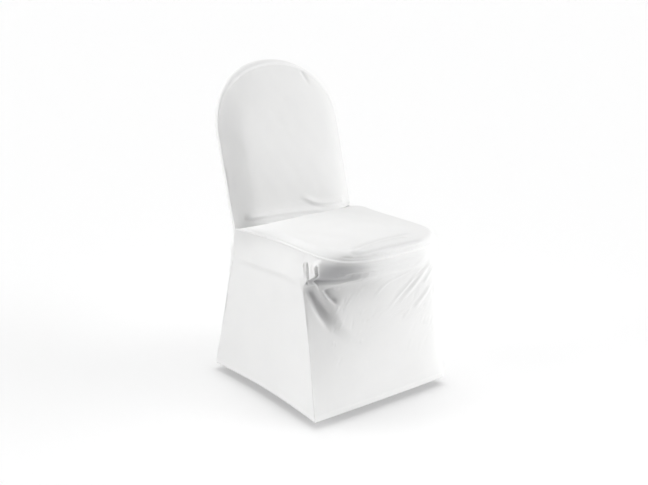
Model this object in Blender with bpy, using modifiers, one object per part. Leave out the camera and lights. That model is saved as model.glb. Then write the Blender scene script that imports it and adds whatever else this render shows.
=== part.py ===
"""Fitted stretch-knit cover for a round-topped stacking chair.

Heights and depths are written from the floor under the chair and from the middle of its seat:
X to the right, Y to the rear, Z up, in metres.  ORIGIN then moves everything so that the
point where the chair carries the cover, inside the crown of the back, lies at zero.
Six cut pieces make the cover, each a sheet of its own with the seams between them.
"""
import math

import bmesh
import bpy
import numpy as np

# ---------------------------------------------------------------- sizes of the whole cover
SHEET = 0.0015            # thickness the knit is given
GAP = 0.00035             # each piece stops this far short of its seam
SEAM_HEIGHT = 0.4710      # the seam round the seat, above the floor
HEM_HEIGHT = 0.0240       # the hem, above the floor
SIDE_HEM_LIFT = 0.0060    # the hem of each side is drawn up between the legs
MAIN = "cover"

# back: a tombstone outline on a leaning plane
BACK_HALF_WIDTH = 0.2150
SHOULDER_HEIGHT = 0.7350  # where the straight sides end and the arch begins
ARCH_RISE = 0.1840
ARCH_POWER = 2.12
BACK_FOOT_Y = 0.1910      # front face of the back at the seat seam
LEAN = 0.2745             # metres back for each metre up
BACK_DEPTH = 0.0440       # padded back, front seam to rear face
SIDE_SWELL = 0.0050       # how far the padded edge swells past the front seam, at the sides
CROWN_SWELL = 0.0130      # and over the crown
SIDE_TAPER = 0.0180       # the rear face is this much narrower at each side
CROWN_TAPER = 0.0040      # and this much lower at the crown
ROLL_SHARE = 0.20         # share of the rear piece that goes round the edge
EDGE_ROWS = 0.28          # share of the rear piece's rows that follow that edge
FRONT_SHORT = 0.0018      # the front of the back is cut this much smaller than its seam

# seat: straight sides with a bowed front
SEAT_CORNER_Y = -0.1180   # where the sides end and the front piece begins
SEAT_BOW = 0.1700
SEAT_POWER = 3.25
SEAT_FRONT_HALF_WIDTH = 0.1940
SEAT_RISE = 0.0260        # cushion above its seam, at the rolled edge
SEAT_ROLL = 0.0220        # how far in the rolled edge reaches
SEAT_DOME = 0.0060
SEAT_REAR_SLOPE = 0.13    # the top climbs over this depth from the seam with the back

KNIT_COLOUR = (0.86, 0.86, 0.855, 1.0)
ORIGIN = np.array((0.0, 0.3380, 0.9290))   # under the cloth at the top of the back

# half width of the seat from the rear seam to the front corner
SEAT_SIDE_COLUMNS = ("y", "half_width")
SEAT_SIDE = (
    # y, half width
    (-0.1180, 0.1940),
    (-0.0600, 0.1925),
    (0.0000, 0.1915),
    (0.0500, 0.1935),
    (0.1000, 0.1990),
    (0.1350, 0.2050),
    (0.1650, 0.2110),
    (0.1910, 0.2150),
)

# how far padding swells the front of the back, from its left seam to its right, and up its arch
SWELL_ACROSS = (
    # across the back, swell of its front
    (-1.00, 0.0000),
    (-0.90, 0.0055),
    (-0.74, 0.0135),
    (-0.62, 0.0180),
    (-0.50, 0.0198),
    (-0.20, 0.0200),
    (0.20, 0.0192),
    (0.60, 0.0165),
    (0.80, 0.0128),
    (0.88, 0.0095),
    (1.00, 0.0000),
)
SWELL_UP = (
    # from the middle of the arch to its seam, swell of the front
    (0.00, 0.0198),
    (0.40, 0.0192),
    (0.62, 0.0165),
    (0.80, 0.0100),
    (1.00, 0.0000),
)

# level sections of the skirt, hem first; bow and right_out are how far the front stands out in
# its middle and toward its right corner, slack is how flat it hangs beside its left corner
LEVEL_COLUMNS = ("height", "rear_x", "rear_y", "rear_mid_y", "front_x", "front_y", "bow",
                 "right_out", "square", "slack")
LEVELS = (
    (0.0240, 0.2400, 0.2840, 0.2925, 0.2430, -0.2225, 0.0030, 0.0020, 3.0, 1.0),
    (0.0700, 0.2360, 0.2735, 0.2820, 0.2392, -0.2110, 0.0030, 0.0150, 3.0, 1.0),
    (0.1120, 0.2325, 0.2640, 0.2730, 0.2356, -0.2016, 0.0030, 0.0280, 3.0, 1.0),
    (0.1900, 0.2255, 0.2495, 0.2590, 0.2290, -0.1843, 0.0040, 0.0520, 3.0, 1.0),
    (0.2700, 0.2190, 0.2365, 0.2460, 0.2225, -0.1627, 0.0060, 0.0760, 3.0, 1.0),
    (0.3300, 0.2145, 0.2245, 0.2360, 0.2175, -0.1460, 0.0200, 0.0920, 3.0, 1.0),
    (0.3640, 0.2125, 0.2160, 0.2320, 0.2145, -0.1330, 0.0470, 0.0920, 3.0, 0.9),
    (0.3880, 0.2110, 0.2090, 0.2300, 0.2123, -0.1215, 0.0800, 0.0780, 3.0, 0.6),
    (0.4040, 0.2110, 0.2075, 0.2300, 0.2100, -0.1190, 0.1150, 0.0480, 3.0, 0.2),
    (0.4200, 0.2110, 0.2060, 0.2300, 0.2060, -0.1180, 0.1500, 0.0180, 3.1, 0.0),
    (0.4400, 0.2120, 0.2050, 0.2315, 0.2010, -0.1180, 0.1680, 0.0000, 3.2, 0.0),
    (0.4710, 0.2150, 0.1910, 0.2350, 0.1940, -0.1180, 0.1700, 0.0000, 3.25, 0.0),
)

# folds, each a smooth line through three points of its piece (across, down), raised or sunk
FOLD_COLUMNS = ("name", "u0", "v0", "u1", "v1", "u2", "v2", "rise", "width")
SKIRT_FOLDS = (
    ("corner swag", -0.830, 0.205, -0.600, 0.295, -0.395, 0.450, -0.0110, 0.0120),
    ("swag tail", -0.395, 0.450, -0.287, 0.522, -0.177, 0.598, -0.0040, 0.0130),
    ("swag lip", -0.830, 0.275, -0.658, 0.355, -0.497, 0.453, 0.0040, 0.0100),
    ("second swag", -0.560, 0.175, -0.430, 0.225, -0.291, 0.287, -0.0070, 0.0080),
    ("second lip", -0.471, 0.245, -0.392, 0.288, -0.310, 0.317, 0.0040, 0.0070),
    ("first pleat", -0.984, 0.050, -0.953, 0.112, -0.820, 0.165, -0.0055, 0.0055),
    ("pleat ridge", -0.900, 0.060, -0.800, 0.130, -0.600, 0.220, 0.0035, 0.0055),
    ("second pleat", -0.883, 0.055, -0.823, 0.108, -0.690, 0.150, -0.0050, 0.0055),
    ("upper drape", -0.509, 0.083, -0.341, 0.060, -0.110, 0.058, 0.0030, 0.0060),
    ("drape valley", -0.450, 0.100, -0.250, 0.088, 0.000, 0.080, -0.0025, 0.0060),
    ("right ridge", 0.324, 0.052, 0.194, 0.192, 0.039, 0.407, 0.0045, 0.0110),
    ("right valley", 0.355, 0.090, 0.305, 0.125, 0.267, 0.195, -0.0025, 0.0080),
    ("right lip", 0.422, 0.143, 0.321, 0.187, 0.254, 0.268, 0.0035, 0.0090),
    ("right tail", 0.397, 0.270, 0.301, 0.363, 0.197, 0.435, 0.0035, 0.0110),
)
SEAT_FOLDS = (
    ("first dip", -0.600, 0.975, -0.013, 0.857, 0.400, 0.900, -0.0020, 0.0070),
    ("first ridge", -0.580, 0.980, -0.030, 0.890, 0.400, 0.930, 0.0024, 0.0070),
    ("second dip", -0.550, 0.985, -0.027, 0.960, 0.400, 0.970, -0.0026, 0.0060),
)
BACK_FOLDS = (
    ("right roll", 0.03, 0.140, 0.260, 0.068, 0.80, 0.066, 0.0055, 0.0080),
    ("under the roll", 0.05, 0.090, 0.350, 0.038, 0.95, 0.034, -0.0045, 0.0070),
    ("left roll", -0.75, 0.070, -0.200, 0.054, 0.35, 0.036, 0.0060, 0.0085),
    ("crown crease", 0.33, 0.985, 0.365, 0.948, 0.40, 0.888, -0.0025, 0.0070),
)
REAR_FOLDS = (
    ("waist roll", -0.80, 0.440, 0.000, 0.470, 0.80, 0.445, -0.0035, 0.0200),
    ("left drag", -0.78, 0.480, -0.500, 0.560, -0.20, 0.620, 0.0030, 0.0160),
    ("right drag", 0.78, 0.480, 0.450, 0.570, 0.25, 0.650, 0.0030, 0.0160),
)
SIDE_FOLDS = (
    ("frame edge", 0.05, 0.190, 0.500, 0.180, 0.95, 0.190, 0.0018, 0.0070),
    ("frame shadow", 0.05, 0.225, 0.500, 0.215, 0.90, 0.225, -0.0015, 0.0090),
)


def from_table(rows, column, where):
    """Smooth reading of one column of a table whose first column rises."""
    t = np.array([row[0] for row in rows])
    value = np.array([row[column] for row in rows])
    slope = np.gradient(value, t)
    where = np.clip(where, t[0], t[-1])
    i = np.clip(np.searchsorted(t, where) - 1, 0, len(t) - 2)
    step = t[i + 1] - t[i]
    k = (where - t[i]) / step
    return ((2 * k**3 - 3 * k**2 + 1) * value[i] + (k**3 - 2 * k**2 + k) * step * slope[i]
            + (3 * k**2 - 2 * k**3) * value[i + 1] + (k**3 - k**2) * step * slope[i + 1])


def level(name, height):
    return from_table(LEVELS, LEVEL_COLUMNS.index(name), height)


def ease(low, high, value):
    k = np.clip((value - low) / (high - low), 0.0, 1.0)
    return k * k * (3.0 - 2.0 * k)


def arch(turn, half_width, rise, power):
    """A rounded end: turn -1 at the left shoulder, 0 at the middle, 1 at the right."""
    angle = turn * math.pi / 2
    side = np.sign(turn) * np.abs(np.sin(angle)) ** (2.0 / power)
    up = np.clip(np.cos(angle), 0.0, 1.0) ** (2.0 / power)
    return half_width * side, rise * up


# ---------------------------------------------------------------- the back
def back_half_width(height):
    below = level("rear_x", np.minimum(height, SEAM_HEIGHT))
    return np.where(height < SEAM_HEIGHT, below, BACK_HALF_WIDTH)


def back_front_y(height):
    return BACK_FOOT_Y + LEAN * (height - SEAM_HEIGHT)


def back_gauge(x, height):
    """1 on the outline of the back, 0 down its middle; with the outward direction there."""
    over = np.clip(height - SHOULDER_HEIGHT, 0.0, None) / ARCH_RISE
    across = np.abs(x) / back_half_width(height)
    gauge = (across**ARCH_POWER + over**ARCH_POWER) ** (1.0 / ARCH_POWER)
    out_x = across ** (ARCH_POWER - 1.0) / BACK_HALF_WIDTH
    out_z = over ** (ARCH_POWER - 1.0) / ARCH_RISE
    size = np.maximum(np.hypot(out_x, out_z), 1e-9)
    return gauge, np.sign(x) * out_x / size, out_z / size


def back_columns(u, v, foot, short):
    """Columns from the foot (v = 0) to the arch (v = 1), held short of the outline."""
    x_top, rise = arch(u, BACK_HALF_WIDTH - short, ARCH_RISE - short, ARCH_POWER)
    top = SHOULDER_HEIGHT + rise
    height = foot + v * (top - foot)
    straight = foot + v * (SHOULDER_HEIGHT - foot)
    return x_top * back_half_width(straight) / BACK_HALF_WIDTH, height


def back_front(u, v):
    x, height = back_columns(u, v, SEAM_HEIGHT, FRONT_SHORT)
    gauge, _, out_z = back_gauge(x, height)
    gauge = np.clip(gauge, 0.0, 1.0)
    up = out_z * out_z
    swell = ((1.0 - up) * from_table(SWELL_ACROSS, 1, np.sign(x) * gauge)
             + up * from_table(SWELL_UP, 1, gauge))
    return x, back_front_y(height) - swell * ease(0.0, 0.085, height - SEAM_HEIGHT), height


def rear_panel(u, v):
    """v = 0 on the arch seam, v = 1 at the hem; the outer fifth goes round the padded edge."""
    x, height = back_columns(u, 1.0 - v, HEM_HEIGHT, 0.0)
    gauge, out_x, out_z = back_gauge(x, height)
    above = height >= SEAM_HEIGHT
    edge_y = np.where(above, back_front_y(height), level("rear_y", height))
    mid_y = np.where(above, back_front_y(height) + BACK_DEPTH, level("rear_mid_y", height))
    waist = ease(0.38, SEAM_HEIGHT, height)
    up = out_z * out_z
    swell = SIDE_SWELL + (CROWN_SWELL - SIDE_SWELL) * up
    taper = 0.0030 + waist * (SIDE_TAPER + (CROWN_TAPER - SIDE_TAPER) * up - 0.0030)
    safe = np.maximum(gauge, 1e-6)
    over = height > SHOULDER_HEIGHT
    rim_x = x / safe
    rim_z = np.where(over, SHOULDER_HEIGHT + (height - SHOULDER_HEIGHT) / safe, height)
    turn = np.clip((1.0 - gauge) / ROLL_SHARE, 0.0, 1.0) * math.pi
    deep = (1.0 - np.cos(turn)) / 2.0
    out = swell * np.sin(turn) - taper * deep
    inner = np.clip(gauge / (1.0 - ROLL_SHARE), 0.0, 1.0)
    px = inner * rim_x + out_x * out * inner
    pz = np.where(over, SHOULDER_HEIGHT + (rim_z - SHOULDER_HEIGHT) * inner, height)
    pz = pz + out_z * out * inner
    at_y = np.where(pz >= SEAM_HEIGHT, back_front_y(pz), edge_y)
    at_mid = np.where(pz >= SEAM_HEIGHT, back_front_y(pz) + BACK_DEPTH, mid_y)
    return px, at_y + (at_mid - at_y) * deep, pz


# ---------------------------------------------------------------- the seat
def seat_half_width(y):
    return from_table(SEAT_SIDE, 1, y)


def seat_panel(u, v):
    """v = 0 on the seam with the back, v = 1 on the bowed front seam."""
    x_front, bow = arch(u, SEAT_FRONT_HALF_WIDTH, SEAT_BOW, SEAT_POWER)
    front = SEAT_CORNER_Y - bow
    y = BACK_FOOT_Y + v * (front - BACK_FOOT_Y)
    straight = BACK_FOOT_Y + v * (SEAT_CORNER_Y - BACK_FOOT_Y)
    x = x_front * seat_half_width(straight) / SEAT_FRONT_HALF_WIDTH
    over = np.clip(SEAT_CORNER_Y - y, 0.0, None) / SEAT_BOW
    across = np.abs(x) / seat_half_width(np.maximum(y, SEAT_CORNER_Y))
    gauge = np.clip((across**SEAT_POWER + over**SEAT_POWER) ** (1.0 / SEAT_POWER), 0.0, 1.0)
    inset = np.clip((1.0 - gauge) * SEAT_FRONT_HALF_WIDTH / SEAT_ROLL, 0.0, 1.0)
    behind = np.clip((BACK_FOOT_Y - y) / SEAT_REAR_SLOPE, 0.0, 1.0)
    edge = np.sqrt(1.0 - (1.0 - inset) ** 2) * np.sin(behind * math.pi / 2)
    dome = SEAT_DOME * (1.0 - gauge**2) * ease(0.0, 0.10, BACK_FOOT_Y - y)
    return x, y, SEAM_HEIGHT + GAP + SEAT_RISE * edge + dome


# ---------------------------------------------------------------- the skirt
def side_panel(u, v, hand):
    """u = 0 at the rear corner, u = 1 at the front corner; v = 0 at the seat seam."""
    height = SEAM_HEIGHT + v * (HEM_HEIGHT - SEAM_HEIGHT)
    height = height + SIDE_HEM_LIFT * np.sin(math.pi * np.clip(u, 0, 1)) * ease(0.3, 1.0, v)
    y = level("rear_y", height) * (1.0 - u) + level("front_y", height) * u
    x = level("rear_x", height) * (1.0 - u) + level("front_x", height) * u
    along = BACK_FOOT_Y + u * (SEAT_CORNER_Y - BACK_FOOT_Y)
    seam_x = seat_half_width(along)
    x = x + (seam_x - x) * ease(0.40, SEAM_HEIGHT, height)
    sag = 0.0060 * np.sin(math.pi * np.clip(u, 0, 1)) * ease(0.38, 0.05, height)
    return hand * (x - sag), y, height


def skirt_front(u, v):
    """u = -1 at the left corner seam, 1 at the right; v = 0 at the seat seam, 1 at the hem."""
    height = SEAM_HEIGHT + v * (HEM_HEIGHT - SEAM_HEIGHT)
    corner_x = level("front_x", height)
    x, full = arch(u, corner_x, 1.0, level("square", height))
    t = np.clip(x / corner_x, -1.0, 1.0)
    slack = np.where(t < 0.0, level("slack", height), 0.0)
    bulge = full + ((1.0 - t * t) ** 1.5 - full) * slack
    pulled = (1.0 + t) / 2.0 * (1.0 - t**6) ** 0.25
    out = level("bow", height) * bulge + level("right_out", height) * pulled
    return x, level("front_y", height) - out, height


# ---------------------------------------------------------------- folds and sheets
def fold_line(surface, fold, steps=14):
    """Points on the piece along one row of a fold table."""
    _, u0, v0, u1, v1, u2, v2, _, _ = fold
    t = np.linspace(0.0, 1.0, steps)
    first, middle, last = (1 - t) * (1 - 2 * t), 4 * t * (1 - t), t * (2 * t - 1)
    u = first * u0 + middle * u1 + last * u2
    v = first * v0 + middle * v1 + last * v2
    return np.stack(surface(u, v), axis=-1), t


def fold_height(points, surface, folds, edge):
    """How far the folds lift each point, fading out at both ends and at the seams."""
    total = np.zeros(len(points))
    for fold in folds:
        line, t = fold_line(surface, fold)
        start, step = line[:-1], np.diff(line, axis=0)
        span = points[:, None, :] - start[None, :, :]
        k = np.clip((span * step).sum(-1) / (step * step).sum(-1), 0.0, 1.0)
        away = np.linalg.norm(span - k[..., None] * step, axis=-1)
        nearest = away.argmin(axis=1)
        rows = np.arange(len(points))
        along = t[nearest] + k[rows, nearest] * (t[1] - t[0])
        fade = ease(0.0, 0.18, along) * ease(0.0, 0.22, 1.0 - along)
        total += fold[-2] * np.exp(-(away[rows, nearest] / fold[-1]) ** 2) * (0.25 + 0.75 * fade)
    return total * edge


def skin(surface, folds, u, v, fade, facing):
    """Points of a finished piece: its surface, moved outward by its folds."""
    small = 1e-4
    base = np.stack(surface(u, v), axis=-1)
    across = np.stack(surface(u + small, v), axis=-1) - np.stack(surface(u - small, v), axis=-1)
    down = np.stack(surface(u, v + small), axis=-1) - np.stack(surface(u, v - small), axis=-1)
    normal = np.cross(across, down)
    normal = normal / np.maximum(np.linalg.norm(normal, axis=-1, keepdims=True), 1e-12)
    outward = np.sign((normal @ np.array(facing)).sum())
    lift = fold_height(base, surface, folds, fade(u, v))
    return base + outward * normal * lift[:, None], outward


def knit(name):
    material = bpy.data.materials.new(name)
    material.use_nodes = True
    shader = material.node_tree.nodes["Principled BSDF"]
    shader.inputs["Base Color"].default_value = KNIT_COLOUR
    shader.inputs["Roughness"].default_value = 0.90
    shader.inputs["Metallic"].default_value = 0.0
    return material


def make_piece(name, surface, folds, columns, rows, spacing, fade, facing):
    """A grid laid on the surface, then given the thickness of the knit on its inner side."""
    bm = bmesh.new()
    bmesh.ops.create_grid(bm, x_segments=columns, y_segments=rows, size=1.0)
    flat = np.array([vert.co[:2] for vert in bm.verts])
    u, v = spacing((flat[:, 0] + 1.0) / 2.0, (flat[:, 1] + 1.0) / 2.0)
    points, outward = skin(surface, folds, u, v, fade, facing)
    for vert, point in zip(bm.verts, points - ORIGIN):
        vert.co = point
    if outward < 0:
        bmesh.ops.reverse_faces(bm, faces=bm.faces[:])
    bmesh.ops.triangulate(bm, faces=bm.faces[:], quad_method="SHORT_EDGE")
    for face in bm.faces:
        face.smooth = True
    mesh = bpy.data.meshes.new(name)
    bm.to_mesh(mesh)
    bm.free()
    piece = bpy.data.objects.new(name, mesh)
    piece.data.materials.append(knit(name + "_knit"))
    sheet = piece.modifiers.new("thickness", "SOLIDIFY")
    sheet.thickness = SHEET
    sheet.offset = -1.0
    sheet.use_even_offset = False
    sheet.use_quality_normals = True
    return piece


# ---------------------------------------------------------------- spacing of each grid
def both_ends(t, short):
    """Closer columns toward both ends, stopping short of the seams."""
    return np.sin((2.0 * t - 1.0) * math.pi / 2) * (1.0 - short)


def between(t, near, far):
    return near + t * (1.0 - near - far)


def back_spacing(s, t):
    return both_ends(s, 0.001), between(t**1.3, GAP / 0.40, 0.001)


def rear_spacing(s, t):
    """The first rows follow the padded edge round the arch, the rest run down to the hem."""
    u = both_ends(s, GAP / 0.27)
    across, rise = arch(u, 1.0, 1.0, ARCH_POWER)
    across = np.abs(across)
    near = between(np.clip(t / EDGE_ROWS, 0.0, 1.0) ** 1.1, 0.02, 0.0)
    gauge = 1.0 - np.minimum(1.0 - across, 1.06 * ROLL_SHARE) * near
    over = np.clip(gauge**ARCH_POWER - across**ARCH_POWER, 0.0, None) ** (1.0 / ARCH_POWER)
    drop = np.maximum(ARCH_RISE * (rise - over), 0.040 * near)
    v = drop / (SHOULDER_HEIGHT + ARCH_RISE * rise - HEM_HEIGHT)
    rest = np.clip((t - EDGE_ROWS) / (1.0 - EDGE_ROWS), 0.0, 1.0)
    return u, v + rest * (1.0 - 1e-3 - v)


def seat_spacing(s, t):
    return both_ends(s, 0.0), between(1.0 - (1.0 - t) ** 1.7, GAP / 0.45, 0.0)


def skirt_spacing(s, t):
    u = (-1.0 + 2.0 * s**1.2) * (1.0 - 3e-4)
    return u, between(t**1.25, GAP / 0.44, 1e-3)


def side_spacing(s, t):
    """The side stops under the seat where the cushion is flat and inside the front at the hem."""
    top = (GAP + 0.0023 * (1.0 - ease(0.15, 0.60, s))) / 0.44
    v = top + t**1.15 * (1.0 - top)
    height = SEAM_HEIGHT + v * (HEM_HEIGHT - SEAM_HEIGHT)
    length = level("rear_y", height) - level("front_y", height)
    rear = (GAP + 0.0014 + 0.0011 * (1.0 - ease(0.08, 0.30, v))) / length
    front = (GAP + 0.0017) / length
    return rear + s * (1.0 - rear - front), v


def fade_sides(u, v):
    return ease(0.0, 0.12, 1.0 - np.abs(u)) * ease(0.0, 0.05, v) * ease(0.0, 0.04, 1.0 - v)


def fade_skirt(u, v):
    return ease(0.0, 0.020, 1.0 - np.abs(u)) * ease(0.0, 0.022, v) * ease(0.0, 0.05, 1.0 - v)


def fade_side(u, v):
    return ease(0.0, 0.08, u) * ease(0.0, 0.08, 1.0 - u) * ease(0.0, 0.03, v)


def fade_seat(u, v):
    return ease(0.0, 0.04, 1.0 - np.abs(u)) * ease(0.0, 0.010, 1.0 - v)


def left_side(u, v):
    return side_panel(u, v, -1.0)


def right_side(u, v):
    return side_panel(u, v, 1.0)


# ---------------------------------------------------------------- build
FRONT, REAR, UP, LEFT, RIGHT = (0, -1, 0), (0, 1, 0), (0, 0, 1), (-1, 0, 0), (1, 0, 0)
PIECES = (
    # name, surface, folds, columns, rows, spacing, fade, side that faces out
    ("back_front", back_front, BACK_FOLDS, 18, 24, back_spacing, fade_sides, FRONT),
    ("rear_panel", rear_panel, REAR_FOLDS, 28, 36, rear_spacing, fade_sides, REAR),
    ("seat_panel", seat_panel, SEAT_FOLDS, 24, 24, seat_spacing, fade_seat, UP),
    ("skirt_front", skirt_front, SKIRT_FOLDS, 42, 26, skirt_spacing, fade_skirt, FRONT),
    ("side_left", left_side, SIDE_FOLDS, 12, 18, side_spacing, fade_side, LEFT),
    ("side_right", right_side, SIDE_FOLDS, 12, 18, side_spacing, fade_side, RIGHT),
)

for old in list(bpy.data.objects):
    bpy.data.objects.remove(old, do_unlink=True)
cover = bpy.data.collections.new(MAIN)
bpy.context.scene.collection.children.link(cover)
for row in PIECES:
    cover.objects.link(make_piece(*row))
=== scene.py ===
# %% [markdown]
# # A fitted stretch cover for a banquet chair
# The cover is one bag of white stretch knit, sewn from six cut pieces: the front and the rear of the
# back, the seat, the front of the skirt and its two sides.  A padded chair inside pulls it tight, so
# the whole shape is tension: smooth where the padding fills the cloth, creased where a corner drags it.
# Blender offers cloth simulation for this, but a tight cover hardly moves under gravity.  Plain
# functions for each piece, with its drag lines laid in as rows of a table, are quicker and give the
# same folds every time, so that is the way taken here.

import math

import bmesh
import bpy
import numpy as np

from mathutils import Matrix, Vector


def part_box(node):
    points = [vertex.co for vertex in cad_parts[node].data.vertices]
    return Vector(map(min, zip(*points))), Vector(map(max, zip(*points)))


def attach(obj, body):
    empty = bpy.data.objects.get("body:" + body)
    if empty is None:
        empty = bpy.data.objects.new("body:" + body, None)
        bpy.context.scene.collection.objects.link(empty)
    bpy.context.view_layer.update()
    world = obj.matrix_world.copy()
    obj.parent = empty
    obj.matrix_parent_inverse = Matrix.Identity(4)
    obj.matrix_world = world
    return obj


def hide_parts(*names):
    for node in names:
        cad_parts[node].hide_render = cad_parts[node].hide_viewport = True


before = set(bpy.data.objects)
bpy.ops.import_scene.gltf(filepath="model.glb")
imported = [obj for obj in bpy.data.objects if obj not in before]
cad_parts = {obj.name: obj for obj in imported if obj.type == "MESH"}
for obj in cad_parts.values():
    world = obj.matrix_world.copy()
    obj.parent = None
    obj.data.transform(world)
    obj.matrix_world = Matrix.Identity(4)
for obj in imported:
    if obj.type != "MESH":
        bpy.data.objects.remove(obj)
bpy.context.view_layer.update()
for node in sorted(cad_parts):
    low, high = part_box(node)
    print(node, "is", " x ".join(f"{1000 * (b - a):.0f}" for a, b in zip(low, high)), "mm")

# %% [markdown]
# ## Sizes
# Every piece is laid out from the floor under the chair, X to the right, Y to the rear, Z up, and
# moved at the end so that zero lies under the cloth at the top of the back, where the chair carries
# it.  The back is a tombstone on a leaning plane.  The seat is a rounded shield.

# %% Name the sizes of the cover
TOP_OF_BACK = np.array((0.0, 0.3380, 0.9290))
SEAM_HEIGHT = 0.4710      # seam round the seat
HEM_HEIGHT = 0.0240
SIDE_HEM_LIFT = 0.0060    # the hem of each side is drawn up between the legs
KNIT_THICKNESS = 0.0009

BACK_HALF_WIDTH = 0.2150
SHOULDER_HEIGHT = 0.7350
ARCH_RISE = 0.1840
ARCH_POWER = 2.12
BACK_FOOT_Y = 0.1910
LEAN = 0.2745
BACK_DEPTH = 0.0440
SIDE_SWELL = 0.0050
CROWN_SWELL = 0.0130
SIDE_TAPER = 0.0180
CROWN_TAPER = 0.0040
ROLL_SHARE = 0.20

SEAT_CORNER_Y = -0.1180
SEAT_BOW = 0.1700
SEAT_POWER = 3.25
SEAT_FRONT_HALF_WIDTH = 0.1940
SEAT_RISE = 0.0260
SEAT_ROLL = 0.0220
SEAT_DOME = 0.0060
SEAT_REAR_SLOPE = 0.13
print(f"the cover stands {TOP_OF_BACK[2] - HEM_HEIGHT:.3f} m from hem to crown")

# %% [markdown]
# ## Profiles as small tables
# A maker's pattern is a handful of stations joined by a fair curve.  A cubic through the rows of a
# table does the same job, and its rows stay readable: the half width of the seat, the level sections
# of the skirt, how far the padding swells the front of the back, where the swag steps out of the
# skirt, and how far the cloth is drawn in under the seat's corner.

# %% Stations of the pattern
SEAT_SIDE = (
    # y, half width
    (-0.1180, 0.1940),
    (-0.0600, 0.1925),
    (0.0000, 0.1915),
    (0.0500, 0.1935),
    (0.1000, 0.1990),
    (0.1350, 0.2050),
    (0.1650, 0.2110),
    (0.1910, 0.2150),
)
LEVEL_COLUMNS = ("height", "rear_x", "rear_y", "rear_mid_y", "front_x", "front_y", "bow",
                 "right_out", "square", "slack")
LEVELS = (
    (0.0240, 0.2400, 0.2840, 0.2925, 0.2430, -0.2225, 0.0030, 0.0020, 3.0, 1.0),
    (0.0700, 0.2360, 0.2735, 0.2820, 0.2392, -0.2110, 0.0030, 0.0150, 3.0, 1.0),
    (0.1120, 0.2325, 0.2640, 0.2730, 0.2356, -0.2016, 0.0030, 0.0280, 3.0, 1.0),
    (0.1900, 0.2255, 0.2495, 0.2590, 0.2290, -0.1843, 0.0040, 0.0520, 3.0, 1.0),
    (0.2700, 0.2190, 0.2365, 0.2460, 0.2225, -0.1627, 0.0060, 0.0760, 3.0, 1.0),
    (0.3300, 0.2145, 0.2245, 0.2360, 0.2175, -0.1460, 0.0200, 0.0920, 3.0, 1.0),
    (0.3640, 0.2125, 0.2160, 0.2320, 0.2145, -0.1330, 0.0470, 0.0920, 3.0, 0.9),
    (0.3880, 0.2110, 0.2090, 0.2300, 0.2123, -0.1215, 0.0800, 0.0780, 3.0, 0.6),
    (0.4040, 0.2110, 0.2075, 0.2300, 0.2100, -0.1190, 0.1150, 0.0480, 3.0, 0.2),
    (0.4200, 0.2110, 0.2060, 0.2300, 0.2060, -0.1180, 0.1500, 0.0180, 3.1, 0.0),
    (0.4400, 0.2120, 0.2050, 0.2315, 0.2010, -0.1180, 0.1680, 0.0000, 3.2, 0.0),
    (0.4710, 0.2150, 0.1910, 0.2350, 0.1940, -0.1180, 0.1700, 0.0000, 3.25, 0.0),
)
SWELL_ACROSS = (
    # across the back, swell of its front
    (-1.00, 0.0000),
    (-0.93, 0.0038),
    (-0.85, 0.0085),
    (-0.76, 0.0138),
    (-0.68, 0.0178),
    (-0.61, 0.0196),
    (-0.50, 0.0203),
    (-0.20, 0.0205),
    (0.20, 0.0196),
    (0.60, 0.0167),
    (0.80, 0.0128),
    (0.88, 0.0095),
    (1.00, 0.0000),
)
SWELL_UP = (
    # from the middle of the arch to its seam, swell of the front
    (0.00, 0.0198),
    (0.35, 0.0194),
    (0.52, 0.0178),
    (0.66, 0.0135),
    (0.84, 0.0060),
    (1.00, 0.0000),
)
SWAG_STEP = (
    # height, where the swag crosses the skirt (-1 to 1), its share of the way out
    (0.0240, -0.300, 0.000),
    (0.2040, -0.400, 0.000),
    (0.2380, -0.540, 0.050),
    (0.2700, -0.660, 0.120),
    (0.3200, -0.790, 0.210),
    (0.3560, -0.900, 0.230),
    (0.3790, -0.960, 0.200),
    (0.4100, -1.000, 0.100),
    (0.4710, -1.000, 0.000),
)
UNDERCUT = (
    # place across the skirt (-1 to 1), share of the height where the hollow ends, depth
    (-1.000, 0.160, 0.0000),
    (-0.900, 0.160, 0.0000),
    (-0.820, 0.158, 0.0150),
    (-0.740, 0.156, 0.0270),
    (-0.660, 0.153, 0.0340),
    (-0.580, 0.150, 0.0360),
    (-0.500, 0.143, 0.0320),
    (-0.430, 0.130, 0.0245),
    (-0.350, 0.108, 0.0160),
    (-0.220, 0.098, 0.0080),
    (0.050, 0.095, 0.0030),
    (0.350, 0.090, 0.0000),
    (1.000, 0.090, 0.0000),
)
print("stations:", sum(map(len, (SEAT_SIDE, LEVELS, SWELL_ACROSS, SWELL_UP, SWAG_STEP, UNDERCUT))))

# %% [markdown]
# ## Reading the tables
# The cubic takes its slope at every row from the rows beside it, so the cloth has no kink there.
# Three more small tools do the rest: the level section at a height, a smooth step from 0 to 1, and a
# rounded end that serves for the arch of the back, the bow of the seat and the round of the skirt.

# %% Smooth readings, steps and rounded ends
def from_table(rows, column, where):
    """Smooth reading of one column of a table whose first column rises."""
    t = np.array([row[0] for row in rows])
    value = np.array([row[column] for row in rows])
    slope = np.gradient(value, t)
    where = np.clip(where, t[0], t[-1])
    i = np.clip(np.searchsorted(t, where) - 1, 0, len(t) - 2)
    step = t[i + 1] - t[i]
    k = (where - t[i]) / step
    return ((2 * k**3 - 3 * k**2 + 1) * value[i] + (k**3 - 2 * k**2 + k) * step * slope[i]
            + (3 * k**2 - 2 * k**3) * value[i + 1] + (k**3 - k**2) * step * slope[i + 1])


def level(name, height):
    return from_table(LEVELS, LEVEL_COLUMNS.index(name), height)


def ease(low, high, value):
    k = np.clip((value - low) / (high - low), 0.0, 1.0)
    return k * k * (3.0 - 2.0 * k)


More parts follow.
